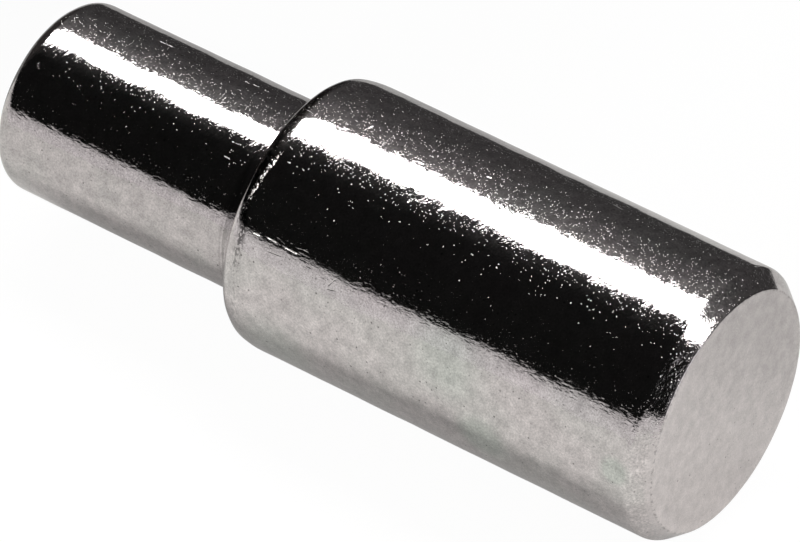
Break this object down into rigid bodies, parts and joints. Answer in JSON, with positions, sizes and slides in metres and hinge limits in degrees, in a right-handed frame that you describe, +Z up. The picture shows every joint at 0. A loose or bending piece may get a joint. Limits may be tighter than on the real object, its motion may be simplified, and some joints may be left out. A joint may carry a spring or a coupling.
{
  "type": "shelf support pin",
  "caption": "Stepped metal pin that carries a loose shelf: a thin spigot plugs into the cabinet side, a thick barrel takes the shelf, with a rounded tip and a chamfered free end.",
  "frame": {"origin": "centre of the shoulder, where the barrel seats against the cabinet side", "axes": "+X along the pin from the spigot to the free end of the barrel, +Z up towards the shelf"},
  "size_m": [0.0197, 0.007, 0.007],
  "materials": {
    "nickel_plate": "bright nickel plating over turned steel, tumbled, with fine pits and handling marks"
  },
  "bodies": {
    "root": {"support_pin": "nickel_plate"}
  },
  "joints": []
}
